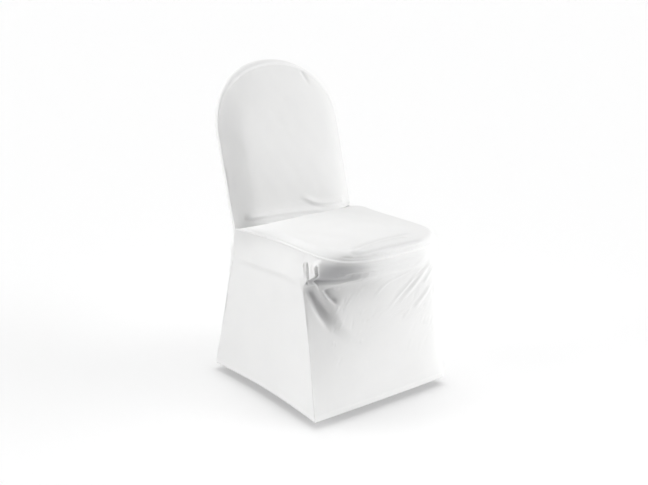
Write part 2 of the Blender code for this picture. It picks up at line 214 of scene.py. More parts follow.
def arch(turn, half_width, rise, power):
    """A rounded end: turn -1 at the left shoulder, 0 at the middle, 1 at the right."""
    angle = turn * math.pi / 2
    side = np.sign(turn) * np.abs(np.sin(angle)) ** (2.0 / power)
    up = np.clip(np.cos(angle), 0.0, 1.0) ** (2.0 / power)
    return half_width * side, rise * up


print("skirt at the hem:", 2 * level("front_x", HEM_HEIGHT), "m wide")

# %% [markdown]
# ## The back
# The front of a padded back is nearly flat in the middle and falls away toward its seam, a little
# sooner on one side.  The rear piece starts at that same seam, rolls round the padded edge, and runs
# down behind the seat as the rear of the skirt.  Both are written as functions of u, across, and v,
# along the height, so one grid can be laid on each.

# %% The two pieces of the back
CREASE_REACH = 0.0240     # how far from the crease of back and seat the cloth bridges it
CREASE_FORWARD = 0.0460
CREASE_UP = 0.0080
BRIDGED_MIDDLE = 0.55     # share of the half width in which the crease is fully bridged
SWELL_EASE_IN = 0.045     # height over which the padding swells out from the seat seam
WAIST_HEIGHT = 0.38       # between here and the seat seam the rear takes on its full taper
REAR_SWELL_HEIGHTS = (0.42, 0.50)     # between these the rolled edge swells out
LEAST_TAPER = 0.0030


def bridged(y, height, away, across, reach=CREASE_REACH):
    """The cloth spans the crease between back and seat instead of diving into it."""
    near = np.exp(-((away / reach) ** 2)) * ease(1.0, BRIDGED_MIDDLE, np.abs(across))
    return y - CREASE_FORWARD * near, height + CREASE_UP * near


def back_half_width(height):
    below = level("rear_x", np.minimum(height, SEAM_HEIGHT))
    return np.where(height < SEAM_HEIGHT, below, BACK_HALF_WIDTH)


def back_front_y(height):
    return BACK_FOOT_Y + LEAN * (height - SEAM_HEIGHT)


def back_gauge(x, height):
    """1 on the outline of the back, 0 down its middle; with the outward direction there."""
    over = np.clip(height - SHOULDER_HEIGHT, 0.0, None) / ARCH_RISE
    across = np.abs(x) / back_half_width(height)
    gauge = (across**ARCH_POWER + over**ARCH_POWER) ** (1.0 / ARCH_POWER)
    out_x = across ** (ARCH_POWER - 1.0) / BACK_HALF_WIDTH
    out_z = over ** (ARCH_POWER - 1.0) / ARCH_RISE
    size = np.maximum(np.hypot(out_x, out_z), 1e-9)
    return gauge, np.sign(x) * out_x / size, out_z / size


def back_columns(u, v, foot):
    """Columns from the foot (v = 0) up to the arch (v = 1)."""
    x_top, rise = arch(u, BACK_HALF_WIDTH, ARCH_RISE, ARCH_POWER)
    top = SHOULDER_HEIGHT + rise
    height = foot + v * (top - foot)
    straight = foot + v * (SHOULDER_HEIGHT - foot)
    return x_top * back_half_width(straight) / BACK_HALF_WIDTH, height


def back_front(u, v):
    """v = 0 on the seam with the seat, v = 1 on the seam round the arch."""
    x, height = back_columns(u, v, SEAM_HEIGHT)
    gauge, _, out_z = back_gauge(x, height)
    gauge = np.clip(gauge, 0.0, 1.0)
    up = out_z * out_z
    swell = ((1.0 - up) * from_table(SWELL_ACROSS, 1, np.sign(x) * gauge)
             + up * from_table(SWELL_UP, 1, gauge))
    y = back_front_y(height) - swell * ease(0.0, SWELL_EASE_IN, height - SEAM_HEIGHT)
    return x, *bridged(y, height, height - SEAM_HEIGHT, x / BACK_HALF_WIDTH)


def rear_panel(u, v):
    """v = 0 on the arch seam, v = 1 at the hem; the outer fifth goes round the padded edge."""
    x, height = back_columns(u, 1.0 - v, HEM_HEIGHT)
    gauge, out_x, out_z = back_gauge(x, height)
    above = height >= SEAM_HEIGHT
    edge_y = np.where(above, back_front_y(height), level("rear_y", height))
    mid_y = np.where(above, back_front_y(height) + BACK_DEPTH, level("rear_mid_y", height))
    waist = ease(WAIST_HEIGHT, SEAM_HEIGHT, height)
    up = out_z * out_z
    swell = (SIDE_SWELL + (CROWN_SWELL - SIDE_SWELL) * up) * ease(*REAR_SWELL_HEIGHTS, height)
    taper = LEAST_TAPER + waist * (SIDE_TAPER + (CROWN_TAPER - SIDE_TAPER) * up - LEAST_TAPER)
    safe = np.maximum(gauge, 1e-6)
    over = height > SHOULDER_HEIGHT
    rim_x = x / safe
    rim_z = np.where(over, SHOULDER_HEIGHT + (height - SHOULDER_HEIGHT) / safe, height)
    turn = np.clip((1.0 - gauge) / ROLL_SHARE, 0.0, 1.0) * math.pi
    deep = (1.0 - np.cos(turn)) / 2.0
    out = swell * np.sin(turn) - taper * deep
    inner = np.clip(gauge / (1.0 - ROLL_SHARE), 0.0, 1.0)
    px = inner * rim_x + out_x * out * inner
    pz = np.where(over, SHOULDER_HEIGHT + (rim_z - SHOULDER_HEIGHT) * inner, height)
    pz = pz + out_z * out * inner
    at_y = np.where(pz >= SEAM_HEIGHT, back_front_y(pz), edge_y)
    at_mid = np.where(pz >= SEAM_HEIGHT, back_front_y(pz) + BACK_DEPTH, mid_y)
    return px, at_y + (at_mid - at_y) * deep, pz


print(f"the back leans {math.degrees(math.atan(LEAN)):.0f} degrees")

# %% [markdown]
# ## The seat
# The seat piece wraps the cushion: its edge rises straight from the seam and rolls over onto a top
# that is almost flat and slopes down into the crease with the back.  The cloth spans that crease
# instead of filling it.

# %% The seat
DOME_EASE_IN = 0.10       # distance from the back over which the dome grows
SEAT_CREASE_REACH = 2.2 * CREASE_REACH


def seat_half_width(y):
    return from_table(SEAT_SIDE, 1, y)


def seat_panel(u, v):
    """v = 0 on the seam with the back, v = 1 on the bowed front seam."""
    x_front, bow = arch(u, SEAT_FRONT_HALF_WIDTH, SEAT_BOW, SEAT_POWER)
    front = SEAT_CORNER_Y - bow
    y = BACK_FOOT_Y + v * (front - BACK_FOOT_Y)
    straight = BACK_FOOT_Y + v * (SEAT_CORNER_Y - BACK_FOOT_Y)
    x = x_front * seat_half_width(straight) / SEAT_FRONT_HALF_WIDTH
    over = np.clip(SEAT_CORNER_Y - y, 0.0, None) / SEAT_BOW
    across = np.abs(x) / seat_half_width(np.maximum(y, SEAT_CORNER_Y))
    gauge = np.clip((across**SEAT_POWER + over**SEAT_POWER) ** (1.0 / SEAT_POWER), 0.0, 1.0)
    inset = np.clip((1.0 - gauge) * SEAT_FRONT_HALF_WIDTH / SEAT_ROLL, 0.0, 1.0)
    behind = np.clip((BACK_FOOT_Y - y) / SEAT_REAR_SLOPE, 0.0, 1.0)
    edge = np.sqrt(1.0 - (1.0 - inset) ** 2) * np.sin(behind * math.pi / 2)
    dome = SEAT_DOME * (1.0 - gauge**2) * ease(0.0, DOME_EASE_IN, BACK_FOOT_Y - y)
    return x, *bridged(y, SEAM_HEIGHT + SEAT_RISE * edge + dome, BACK_FOOT_Y - y,
                       x / BACK_HALF_WIDTH, SEAT_CREASE_REACH)


print(f"the seat is {2 * SEAT_FRONT_HALF_WIDTH:.3f} m wide in front and bows out {SEAT_BOW:.3f} m")

# %% [markdown]
# ## The skirt
# The skirt leaves the seat seam, hugs the rounded seat frame for a hand's width, then is pulled out
# to the four splayed legs.  On the front one pull runs down from the left corner: cloth above it is
# drawn in under the seat, cloth to its right stands further out, and the step between is the swag.

# %% The three skirt pieces
HEM_LIFT_FROM = 0.3       # share of the way down at which the side begins to be drawn up
FRAME_HEIGHT = 0.40       # from here up the side eases into the outline of the seat
SIDE_SAG = 0.0060
SIDE_SAG_HEIGHTS = (0.38, 0.05)
SWAG_HALF_STEP = 0.12     # half the width of the step at the swag, as a share of the half width
PULL_POWER = 0.70
HOLLOW_CURVE = 0.80       # how soon below the seam the hollow grows deep
HOLLOW_LIP = (1.22, 0.90)  # shares of its height between which it comes out again


def side_panel(u, v, hand):
    """u = 0 at the rear corner, u = 1 at the front corner; v = 0 at the seat seam."""
    height = SEAM_HEIGHT + v * (HEM_HEIGHT - SEAM_HEIGHT)
    height = height + SIDE_HEM_LIFT * np.sin(math.pi * np.clip(u, 0, 1)) * ease(HEM_LIFT_FROM, 1.0, v)
    y = level("rear_y", height) * (1.0 - u) + level("front_y", height) * u
    x = level("rear_x", height) * (1.0 - u) + level("front_x", height) * u
    along = BACK_FOOT_Y + u * (SEAT_CORNER_Y - BACK_FOOT_Y)
    x = x + (seat_half_width(along) - x) * ease(FRAME_HEIGHT, SEAM_HEIGHT, height)
    sag = SIDE_SAG * np.sin(math.pi * np.clip(u, 0, 1)) * ease(*SIDE_SAG_HEIGHTS, height)
    return hand * (x - sag), y, height


def left_side(u, v):
    return side_panel(u, v, -1.0)


def right_side(u, v):
    return side_panel(u, v, 1.0)


def below_the_seam(u, v):
    """Depth of the hollow under the seat's rounded corner, and how far down it a point lies."""
    return from_table(UNDERCUT, 2, u), v / from_table(UNDERCUT, 1, u)


def skirt_front(u, v):
    """u = -1 at the left corner seam, 1 at the right; v = 0 at the seat seam, 1 at the hem."""
    height = SEAM_HEIGHT + v * (HEM_HEIGHT - SEAM_HEIGHT)
    corner_x = level("front_x", height)
    x, full = arch(u, corner_x, 1.0, level("square", height))
    t = np.clip(x / corner_x, -1.0, 1.0)
    slack = np.where(t < 0.0, level("slack", height), 0.0)
    bulge = full + ((1.0 - t * t) ** 1.5 - full) * slack
    stepped = ease(-SWAG_HALF_STEP, SWAG_HALF_STEP, t - from_table(SWAG_STEP, 1, height))
    share = from_table(SWAG_STEP, 2, height)
    gradual = ((1.0 + t) / 2.0) ** PULL_POWER
    ends = (1.0 - t**6) ** 0.25
    pulled = (share * stepped + (1.0 - share) * gradual) * ends
    out = level("bow", height) * bulge + level("right_out", height) * pulled
    depth, below = below_the_seam(u, v)
    out = out - depth * np.clip(below, 0.0, 1.0) ** HOLLOW_CURVE * ease(*HOLLOW_LIP, below)
    return x, level("front_y", height) - out, height


HOLLOW_DEPTH = max(depth for _, _, depth in UNDERCUT)
print(f"the cloth is drawn in up to {1000 * HOLLOW_DEPTH:.0f} mm under the seat's corner")

# %% [markdown]
# ## Drag lines
# Tight cloth creases along the line of pull.  Each crease is one row: its name, how far it rises (or
# sinks, when negative), how wide it is, how much of it fades away at either end, and then a smooth
# line through a few points (u, v) of its piece.  A soft bell across the line gives a rounded trough or
# ridge.  Where a row names two widths, one flank is steeper than the other, as on a swag.  Rows that
# run side by side make the bundle of pleats at a pulled corner.

# %% Creases of each piece
# name, rise, width (or the widths to its left and right), fade in, fade out, points (u, v)
CORNER_FOLDS = (
    ("corner ridge", 0.0030, 0.0032, 0.06, 0.30,
     ((-1.000, 0.053), (-0.997, 0.097), (-0.973, 0.154))),
    ("first pleat", -0.0150, (0.0028, 0.0024), 0.15, 0.45,
     ((-0.992, 0.046), (-0.982, 0.078), (-0.962, 0.117), (-0.903, 0.150), (-0.740, 0.193))),
)
SKIRT_FOLDS = (
    ("gathered corner", 0.0060, 0.0150, 0.30, 0.40,
     ((-0.901, 0.005), (-0.860, 0.046), (-0.785, 0.093), (-0.622, 0.151))),
    ("pleat lip", 0.0020, 0.0022, 0.15, 0.30, ((-0.964, 0.048), (-0.950, 0.081), (-0.920, 0.114))),
    ("middle ridge", 0.0040, 0.0026, 0.10, 0.25,
     ((-0.917, 0.043), (-0.895, 0.083), (-0.769, 0.128), (-0.633, 0.182), (-0.576, 0.229))),
    ("second pleat", -0.0120, (0.0030, 0.0024), 0.20, 0.30,
     ((-0.891, 0.039), (-0.874, 0.067), (-0.835, 0.102), (-0.760, 0.140))),
    ("corner swag", -0.0120, (0.0240, 0.0070), 0.22, 0.45,
     ((-0.844, 0.195), (-0.749, 0.238), (-0.649, 0.298),
      (-0.561, 0.360), (-0.488, 0.412), (-0.424, 0.466))),
    ("second swag", -0.0085, (0.0120, 0.0045), 0.15, 0.30,
     ((-0.544, 0.201), (-0.491, 0.237), (-0.433, 0.270), (-0.348, 0.303))),
    ("arrow", 0.0020, 0.0030, 0.25, 0.25, ((-0.446, 0.196), (-0.396, 0.204), (-0.355, 0.195))),
    ("short stroke", 0.0025, 0.0035, 0.25, 0.25, ((-0.547, 0.105), (-0.490, 0.092), (-0.424, 0.082))),
    ("under the seam", -0.0025, 0.0045, 0.20, 0.30, ((-0.462, 0.027), (-0.132, 0.048), (0.184, 0.037))),
    ("first drape", 0.0025, 0.0050, 0.20, 0.30, ((-0.509, 0.083), (-0.341, 0.060), (-0.110, 0.058))),
    ("first valley", -0.0020, 0.0040, 0.20, 0.30, ((-0.446, 0.083), (-0.278, 0.072), (-0.145, 0.068))),
    ("second drape", 0.0020, 0.0040, 0.20, 0.30, ((-0.395, 0.100), (-0.231, 0.097), (-0.056, 0.083))),
    ("second valley", -0.0020, 0.0060, 0.20, 0.40, ((-0.398, 0.155), (-0.243, 0.113), (-0.031, 0.113))),
    ("right ridge", 0.0040, 0.0090, 0.25, 0.40, ((0.324, 0.052), (0.194, 0.192), (0.039, 0.407))),
    ("right line", -0.0020, 0.0040, 0.20, 0.30, ((0.355, 0.090), (0.305, 0.125), (0.267, 0.195))),
    ("upper right ridge", 0.0030, 0.0060, 0.20, 0.30, ((0.422, 0.143), (0.321, 0.187), (0.254, 0.268))),
    ("lower right ridge", 0.0030, 0.0070, 0.20, 0.30, ((0.397, 0.270), (0.301, 0.363), (0.197, 0.435))),
    ("long pull", 0.0015, 0.0050, 0.20, 0.40, ((0.301, 0.068), (0.096, 0.237), (-0.028, 0.475))),
    ("middle pull", 0.0012, 0.0050, 0.20, 0.40, ((0.219, 0.028), (0.007, 0.165), (-0.069, 0.340))),
    ("short pull", 0.0010, 0.0040, 0.20, 0.40, ((0.181, 0.090), (0.108, 0.210), (0.010, 0.372))),
)
SEAT_FOLDS = (
    ("first dip", -0.0028, 0.0060, 0.10, 0.30, ((-0.380, 0.926), (-0.013, 0.857), (0.207, 0.877))),
    ("first ridge", 0.0034, 0.0070, 0.10, 0.30, ((-0.437, 0.967), (-0.030, 0.886), (0.137, 0.919))),
    ("second dip", -0.0040, 0.0050, 0.10, 0.30, ((-0.457, 0.982), (-0.027, 0.966), (0.227, 0.978))),
    ("second ridge", 0.0020, 0.0040, 0.10, 0.30, ((-0.203, 0.987), (0.000, 0.989), (0.207, 0.987))),
    ("edge dip", -0.0020, 0.0030, 0.10, 0.30, ((-0.597, 0.988), (-0.133, 0.996), (0.250, 0.993))),
)
BACK_FOLDS = (
    ("right roll", 0.0060, (0.0120, 0.0040), 0.25, 0.10, ((0.030, 0.140), (0.260, 0.060), (0.660, 0.065))),
    ("under the roll", -0.0015, 0.0040, 0.25, 0.10, ((0.055, 0.088), (0.350, 0.033), (1.000, 0.022))),
    ("left roll", 0.0060, (0.0120, 0.0040), 0.10, 0.40,
     ((-0.655, 0.068), (-0.120, 0.040), (0.345, 0.013))),
    ("under the left roll", -0.0010, 0.0030, 0.10, 0.30,
     ((-0.655, 0.060), (-0.270, 0.010), (0.270, 0.003))),
    ("crown crease", -0.0025, 0.0060, 0.10, 0.50, ((0.330, 0.993), (0.365, 0.948), (0.400, 0.888))),
    ("short crown crease", -0.0012, 0.0040, 0.10, 0.50, ((0.335, 0.980), (0.350, 0.955), (0.360, 0.932))),
    ("first pucker", -0.0012, 0.0018, 0.00, 0.60, ((-0.330, 1.000), (-0.340, 0.988), (-0.350, 0.975))),
    ("second pucker", -0.0012, 0.0018, 0.00, 0.60, ((-0.240, 1.000), (-0.255, 0.988), (-0.270, 0.975))),
    ("third pucker", -0.0012, 0.0018, 0.00, 0.60, ((-0.205, 1.000), (-0.222, 0.983), (-0.240, 0.965))),
    ("fourth pucker", -0.0012, 0.0018, 0.00, 0.60, ((-0.165, 1.000), (-0.180, 0.986), (-0.195, 0.973))),
)
REAR_FOLDS = (
    ("waist roll", -0.0035, 0.0200, 0.30, 0.30, ((-0.800, 0.440), (0.000, 0.470), (0.800, 0.445))),
    ("left drag", 0.0030, 0.0160, 0.20, 0.50, ((-0.780, 0.480), (-0.500, 0.560), (-0.200, 0.620))),
    ("right drag", 0.0030, 0.0160, 0.20, 0.50, ((0.780, 0.480), (0.450, 0.570), (0.250, 0.650))),
)
SIDE_FOLDS = (
    ("frame edge", 0.0018, 0.0070, 0.10, 0.20,
     ((0.032, 0.197), (0.407, 0.182), (0.777, 0.167), (0.975, 0.177))),
    ("frame shadow", -0.0015, 0.0080, 0.10, 0.20,
     ((0.032, 0.235), (0.407, 0.218), (0.777, 0.203), (0.975, 0.213))),
)
DRAWN_FOLDS = (CORNER_FOLDS, SKIRT_FOLDS, SEAT_FOLDS, BACK_FOLDS, REAR_FOLDS, SIDE_FOLDS)
print("creases laid in:", sum(map(len, DRAWN_FOLDS)))

# %% [markdown]
# ## How far a crease lifts the cloth
# Each point finds the nearest place on the crease's line, and the bell of the crease is read at that
# distance.  Measuring in space, and not in u and v, keeps a crease equally wide wherever it runs.

# %% Lift of the creases
FOLD_REACH = 3.0          # a crease is felt this many widths away


def fold_line(surface, points, steps=28):
    """Points on the piece along one crease, and how far along each is."""
    share = np.linspace(0.0, 1.0, len(points))
    rows = [(where, *point) for where, point in zip(share, points)]
    t = np.linspace(0.0, 1.0, steps)
    return np.stack(surface(from_table(rows, 1, t), from_table(rows, 2, t)), axis=-1), t


def fold_height(points, fold_sets, facing):
    """How far the folds lift each point; a set is (the surface its lines lie on, its rows)."""
    total = np.zeros(len(points))
    rows = [(surface, *fold) for surface, folds in fold_sets for fold in folds]
    for surface, _, rise, width, fade_in, fade_out, places in rows:
        line, t = fold_line(surface, places)
        left, right = np.broadcast_to(width, 2)
        reach = FOLD_REACH * max(left, right)
        near = np.all((points > line.min(0) - reach) & (points < line.max(0) + reach), axis=1)
        where = np.flatnonzero(near)
        start, step = line[:-1], np.diff(line, axis=0)
        span = points[where, None, :] - start[None, :, :]
        k = np.clip((span * step).sum(-1) / (step * step).sum(-1), 0.0, 1.0)
        offset = span - k[..., None] * step
        away = np.linalg.norm(offset, axis=-1)
        nearest = away.argmin(axis=1)
        each = np.arange(len(where))
        along = t[nearest] + k[each, nearest] * (t[1] - t[0])
        fade = ease(-1e-6, fade_in, along) * ease(-1e-6, fade_out, 1.0 - along)
        turn = np.cross(step[nearest], offset[each, nearest]) @ np.array(facing)
        share = away[each, nearest] / np.where(turn > 0.0, left, right)
        total[where] += rise * np.exp(-share**2) * fade
    return total


# %% [markdown]
# ## Fine creases
# Between the large pulls a stretched skirt is covered with small slanting crinkles.  There are too
# many to lay in one by one, so they are scattered over the middle of the skirt from a fixed seed, as
# rows like the ones above.  Their number, slant and depth are chosen.

# %% Scatter the fine creases
FINE_CREASES, FINE_SEED = 80, 11


def fine_creases(count, seed):
    """Rows of small slanting creases, the same for the same seed."""
    rng = np.random.default_rng(seed)
    rows = []
    for number in range(count):
        u, v = rng.uniform(-0.42, 0.55), rng.uniform(0.10, 0.75) ** 1.3
        slant, length = rng.normal(-0.75, 0.35), rng.uniform(0.025, 0.10)
        rise = rng.choice((-1.0, 1.0)) * rng.uniform(0.0003, 0.0008)
        middle = (u + 0.5 * slant * length, v + 0.5 * length)
        places = ((u, v), middle, (u + slant * length, v + length))
        rows.append((f"fine crease {number}", rise, rng.uniform(0.0018, 0.0034), 0.35, 0.35, places))
    return tuple(rows)


SKIRT_FOLDS = SKIRT_FOLDS + fine_creases(FINE_CREASES, FINE_SEED)
print("creases on the front of the skirt:", len(SKIRT_FOLDS))

# %% [markdown]
# ## Laying a grid on a piece
# A plain grid has its rows spread evenly in u and v, which bunches them in some places and starves
# others.  Reading the length along the cloth first, and spreading the rows by that length, gives
# cells of about one size.  Extra rows are then drawn in toward the seams, where the cloth turns
# under, and, for the two pieces that carry the corner pleats, toward that corner.

# %% Even rows along the cloth
SEAM_BAND = 0.010         # width of the band along a seam that has extra rows
BAND_SHARE = 0.07         # share of the rows that each such band takes


def even(surface, across, low, at, dense=None):
    """Place of each share of the rows (0 to 1) in u or v, even along the cloth at a section."""
    t = np.linspace(low, 1.0, 1201)
    fixed = np.full_like(t, at)
    points = np.stack(surface(t, fixed) if across else surface(fixed, t), axis=-1)
    length = np.concatenate(([0.0], np.linalg.norm(np.diff(points, axis=0), axis=1).cumsum()))
    total = length[-1]
    weight = np.ones_like(length)
    if dense is not None:
        centre, spread, extra = dense
        weight += extra * np.exp(-((length / total - centre) / spread) ** 2)
    share = np.concatenate(([0.0], (np.diff(length) * (weight[1:] + weight[:-1]) / 2).cumsum()))
    share = share / share[-1]
    bands = np.interp((SEAM_BAND, total - SEAM_BAND), length, share)
    knots = (0.0, BAND_SHARE, 1.0 - BAND_SHARE, 1.0)
    places = (0.0, *bands, 1.0)

    def spread_rows(s):
        return np.interp(np.interp(s, knots, places), share, t)

    return spread_rows


print(f"the {1000 * SEAM_BAND:.0f} mm beside a seam take {BAND_SHARE:.0%} of the rows")

# %% [markdown]
# ## Seams, puckers and hem
# Round the seat and over the crown the cloth swells into a small lip and dives into the seam; on the
# skirt and at the sides of the back it only dips a little.  The thread gathers the seat seam, which
# shows as short puckers that die away within a finger's width.  Beside a seam with a lip the cloth is
# taken as doubled and made whiter; that whiter band is also a painted highlight along the lip.  The
# hem is the same cloth turned up inside, so it only shows as a slightly fuller band with a stitched
# line above it.

# %% Relief along the edges of a piece
SEAM_KINDS = {
    # kind: lip rise, lip place, lip width, dive depth, dive width, outer groove, doubled cloth and painted
    # highlight
    "ridge": (0.0016, 0.0022, 0.0024, 0.0010, 0.0007, 0.0008, 1.0),
    "under": (0.0000, 0.0030, 0.0025, 0.0005, 0.0008, 0.0000, 0.0),
    "crown": (0.0006, 0.0020, 0.0016, 0.0001, 0.0006, 0.0000, 1.0),
    "faint": (0.0000, 0.0030, 0.0025, 0.0001, 0.0009, 0.0000, 0.0),
}
# width of the whiter band beside a seam: doubled cloth and a painted highlight
DOUBLED_AND_HIGHLIGHT_WIDTH = 0.0042
GROOVE_PLACE, GROOVE_WIDTH = 0.0068, 0.0018
PUCKER_WAVES, PUCKER_COUNT = (0.007, 0.016), 7
PUCKER_PATCH, PUCKER_REACH = 0.11, 0.007
HEM_BAND, HEM_RISE, HEM_STITCH = 0.016, 0.0004, 0.0005
HEM_SOFT, STITCH_WIDTH = 0.002, 0.0012
TURN_DEPTH, TURN_WIDTH = 0.0010, 0.0015
HEM_WHITER = 0.12         # share of the doubled cloth's tone that the hem takes


def edge_distance(points, line):
    """Distance from each point to a sewn edge, and how far along the edge that is."""
    run = np.concatenate(([0.0], np.linalg.norm(np.diff(line, axis=0), axis=1).cumsum()))
    start, step = line[:-1], np.diff(line, axis=0)
    size = (step * step).sum(-1)
    away = np.empty(len(points))
    along = np.empty(len(points))
    for part in np.array_split(np.arange(len(points)), max(1, len(points) // 2500)):
        span = points[part, None, :] - start[None, :, :]
        k = np.clip((span * step).sum(-1) / size, 0.0, 1.0)
        gap = np.linalg.norm(span - k[..., None] * step, axis=-1)
        nearest = gap.argmin(axis=1)
        rows = np.arange(len(part))
        away[part] = gap[rows, nearest]
        along[part] = run[nearest] + k[rows, nearest] * np.sqrt(size[nearest])
    return away, along


def seam_relief(away, along, kind, gather, seed):
    """Lip, dive and puckers beside a seam."""
    lip_rise, lip_place, lip_width, dive_depth, dive_width, groove = SEAM_KINDS[kind][:6]
    rng = np.random.default_rng(seed)
    lip = lip_rise * np.exp(-((away - lip_place) / lip_width) ** 2)
    dive = -dive_depth * np.exp(-(away / dive_width) ** 2)
    dip = -groove * np.exp(-((away - GROOVE_PLACE) / GROOVE_WIDTH) ** 2)
    ripple = np.zeros_like(away)
    for wave in rng.uniform(*PUCKER_WAVES, PUCKER_COUNT):
        ripple += np.sin(2 * math.pi * (along / wave + rng.uniform()))
    patch = 0.5 + 0.5 * np.sin(2 * math.pi * (along / PUCKER_PATCH + rng.uniform()))
    return lip + dive + dip + gather * ripple / 3.0 * patch * np.exp(-away / PUCKER_REACH)


def in_hem(away):
    """1 within the turned-up band of the hem, 0 above it."""
    return ease(HEM_BAND + HEM_SOFT, HEM_BAND - HEM_SOFT, away)


def hem_relief(away):
    stitch = -HEM_STITCH * np.exp(-((away - HEM_BAND) / STITCH_WIDTH) ** 2)
    turned = -TURN_DEPTH * np.exp(-(away / TURN_WIDTH) ** 2)
    return HEM_RISE * in_hem(away) + stitch + turned


def unevenness(points, size, seed, waves=14):
    """Slow, shallow waves: padding under cloth is never a perfect surface."""
    rng = np.random.default_rng(seed)
    total = np.zeros(len(points))
    for _ in range(waves):
        direction = rng.normal(size=3)
        direction /= np.linalg.norm(direction)
        wave = rng.uniform(0.6, 1.8) * size
        total += np.sin(2 * math.pi * (points @ direction / wave + rng.uniform()))
    return total / math.sqrt(waves)


print("kinds of seam:", ", ".join(SEAM_KINDS))

# %% [markdown]
# ## The knit
# Stretch knit is matt and very white, with columns of loops that only show as a fine grain, and a soft
# bloom of light at grazing angles.  Each mesh carries a "cloth" attribute that runs across and down
# the piece, so the loops follow the cloth instead of slicing through it.  Two more attributes change
# the colour: "doubled_and_highlight" is whiter, for two layers and as a painted highlight on the seam
# lips, and "painted_shade" is greyer, a painted shade on the deepest cloth.

# %% White stretch knit
KNIT_WHITE = (0.86, 0.86, 0.855)
KNIT_SHADE = (0.845, 0.845, 0.842)
# whiter where the cloth is doubled, and partly a painted highlight along the seam lips
KNIT_DOUBLED_AND_HIGHLIGHT = (0.93, 0.93, 0.928)
# painted shade: the greyer knit laid in deep troughs and the hollow under the seat's corner
KNIT_PAINTED_SHADE = (0.58, 0.58, 0.59)       # tone laid over deep troughs and the corner hollow
LOOP_ACROSS, LOOP_DOWN = 0.0007, 0.0009    # in units of the "cloth" attribute, not metres
ONE_BAND_A_UNIT = 0.31416             # the wave texture's scale for one band in each unit
CLOUD_SCALE = 9.0


def stretch_knit(name, cloud_shift):
    material = bpy.data.materials.new(name)
    material.use_nodes = True
    tree = material.node_tree
    tree.nodes.clear()

    def node(kind, sockets=None, **settings):
        made = tree.nodes.new(kind)
        for key, value in settings.items():
            setattr(made, key, value)
        for key, value in (sockets or {}).items():
            made.inputs[key].default_value = value
        return made

    cloth = node("ShaderNodeAttribute", attribute_name="cloth")
    loops = node("ShaderNodeMapping", {"Scale": (1.0 / LOOP_ACROSS, 1.0 / LOOP_DOWN, 1.0)})
    columns = node("ShaderNodeTexWave", {"Scale": ONE_BAND_A_UNIT, "Distortion": 0.6},
                   wave_type="BANDS", bands_direction="X")
    grain = node("ShaderNodeTexNoise", {"Scale": 420.0, "Detail": 3.0})
    cloud = node("ShaderNodeTexNoise", {"Scale": CLOUD_SCALE + cloud_shift, "Detail": 4.0})
    tint = node("ShaderNodeValToRGB")
    tint.color_ramp.elements[0].position = 0.25
    tint.color_ramp.elements[0].color = (*KNIT_SHADE, 1.0)
    tint.color_ramp.elements[1].position = 0.62
    tint.color_ramp.elements[1].color = (*KNIT_WHITE, 1.0)
    # whiter for doubled cloth and, along the seam lips, a painted highlight
    doubled_and_highlight_attribute = node("ShaderNodeAttribute", attribute_name="doubled_and_highlight")
    whiter = node("ShaderNodeMix", {"B": (*KNIT_DOUBLED_AND_HIGHLIGHT, 1.0)}, data_type="RGBA")
    # greyer for painted shade in the deepest cloth
    deep = node("ShaderNodeAttribute", attribute_name="painted_shade")
    greyer = node("ShaderNodeMix", {"B": (*KNIT_PAINTED_SHADE, 1.0)}, data_type="RGBA")
    loop_bump = node("ShaderNodeBump", {"Strength": 0.25, "Distance": 0.0002})
    grain_bump = node("ShaderNodeBump", {"Strength": 0.35, "Distance": 0.0006})
    shader = node("ShaderNodeBsdfPrincipled")
    shader.inputs["Roughness"].default_value = 0.88
    shader.inputs["Specular IOR Level"].default_value = 0.25
    shader.inputs["Sheen Weight"].default_value = 0.12
    shader.inputs["Sheen Roughness"].default_value = 0.45
    result = node("ShaderNodeOutputMaterial")
    link = tree.links.new
    link(cloth.outputs["Vector"], loops.inputs["Vector"])
    link(loops.outputs["Vector"], columns.inputs["Vector"])
    link(cloth.outputs["Vector"], grain.inputs["Vector"])
    link(cloth.outputs["Vector"], cloud.inputs["Vector"])
    link(cloud.outputs["Fac"], tint.inputs["Fac"])
    link(columns.outputs["Fac"], loop_bump.inputs["Height"])
    link(grain.outputs["Fac"], grain_bump.inputs["Height"])
    link(loop_bump.outputs["Normal"], grain_bump.inputs["Normal"])
    link(doubled_and_highlight_attribute.outputs["Fac"], whiter.inputs["Factor"])
    link(tint.outputs["Color"], whiter.inputs["A"])
    link(deep.outputs["Fac"], greyer.inputs["Factor"])
    link(whiter.outputs["Result"], greyer.inputs["A"])
    link(greyer.outputs["Result"], shader.inputs["Base Color"])
    link(grain_bump.outputs["Normal"], shader.inputs["Normal"])
    link(shader.outputs["BSDF"], result.inputs["Surface"])
    return material


print("knit, from its deepest to its whitest:", KNIT_PAINTED_SHADE, KNIT_SHADE, KNIT_WHITE, KNIT_DOUBLED_AND_HIGHLIGHT)

# %% [markdown]
# ## Painted shade on the deepest cloth
# Shape and light alone leave the pleats, the swag and the hollow under the seat's corner too pale, so
# the knit's own colour is made greyer there as painted shade.  It grows with depth, and not with
# anything that the light does, so it stays the same from every side.

# %% How deep the cloth lies
PAINTED_SHADE_DEPTH = 0.024       # a trough this deep has the whole of the greyer tone
TONE_STARTS, TONE_ENDS = (-0.05, 0.30), (1.20, 0.95)


def painted_shade_share(surface, u, v, sunk):
    """Share of the painted shade at each point, from its trough and from the corner hollow."""
    share = np.clip(-sunk / PAINTED_SHADE_DEPTH, 0.0, 1.0)
    if surface is skirt_front:
        depth, below = below_the_seam(u, v)
        tone = depth / HOLLOW_DEPTH * ease(*TONE_STARTS, below) * ease(*TONE_ENDS, below)
        share = np.maximum(share, tone)
    return np.clip(share, 0.0, 1.0)


print(f"a trough {1000 * PAINTED_SHADE_DEPTH:.0f} mm deep is fully grey")

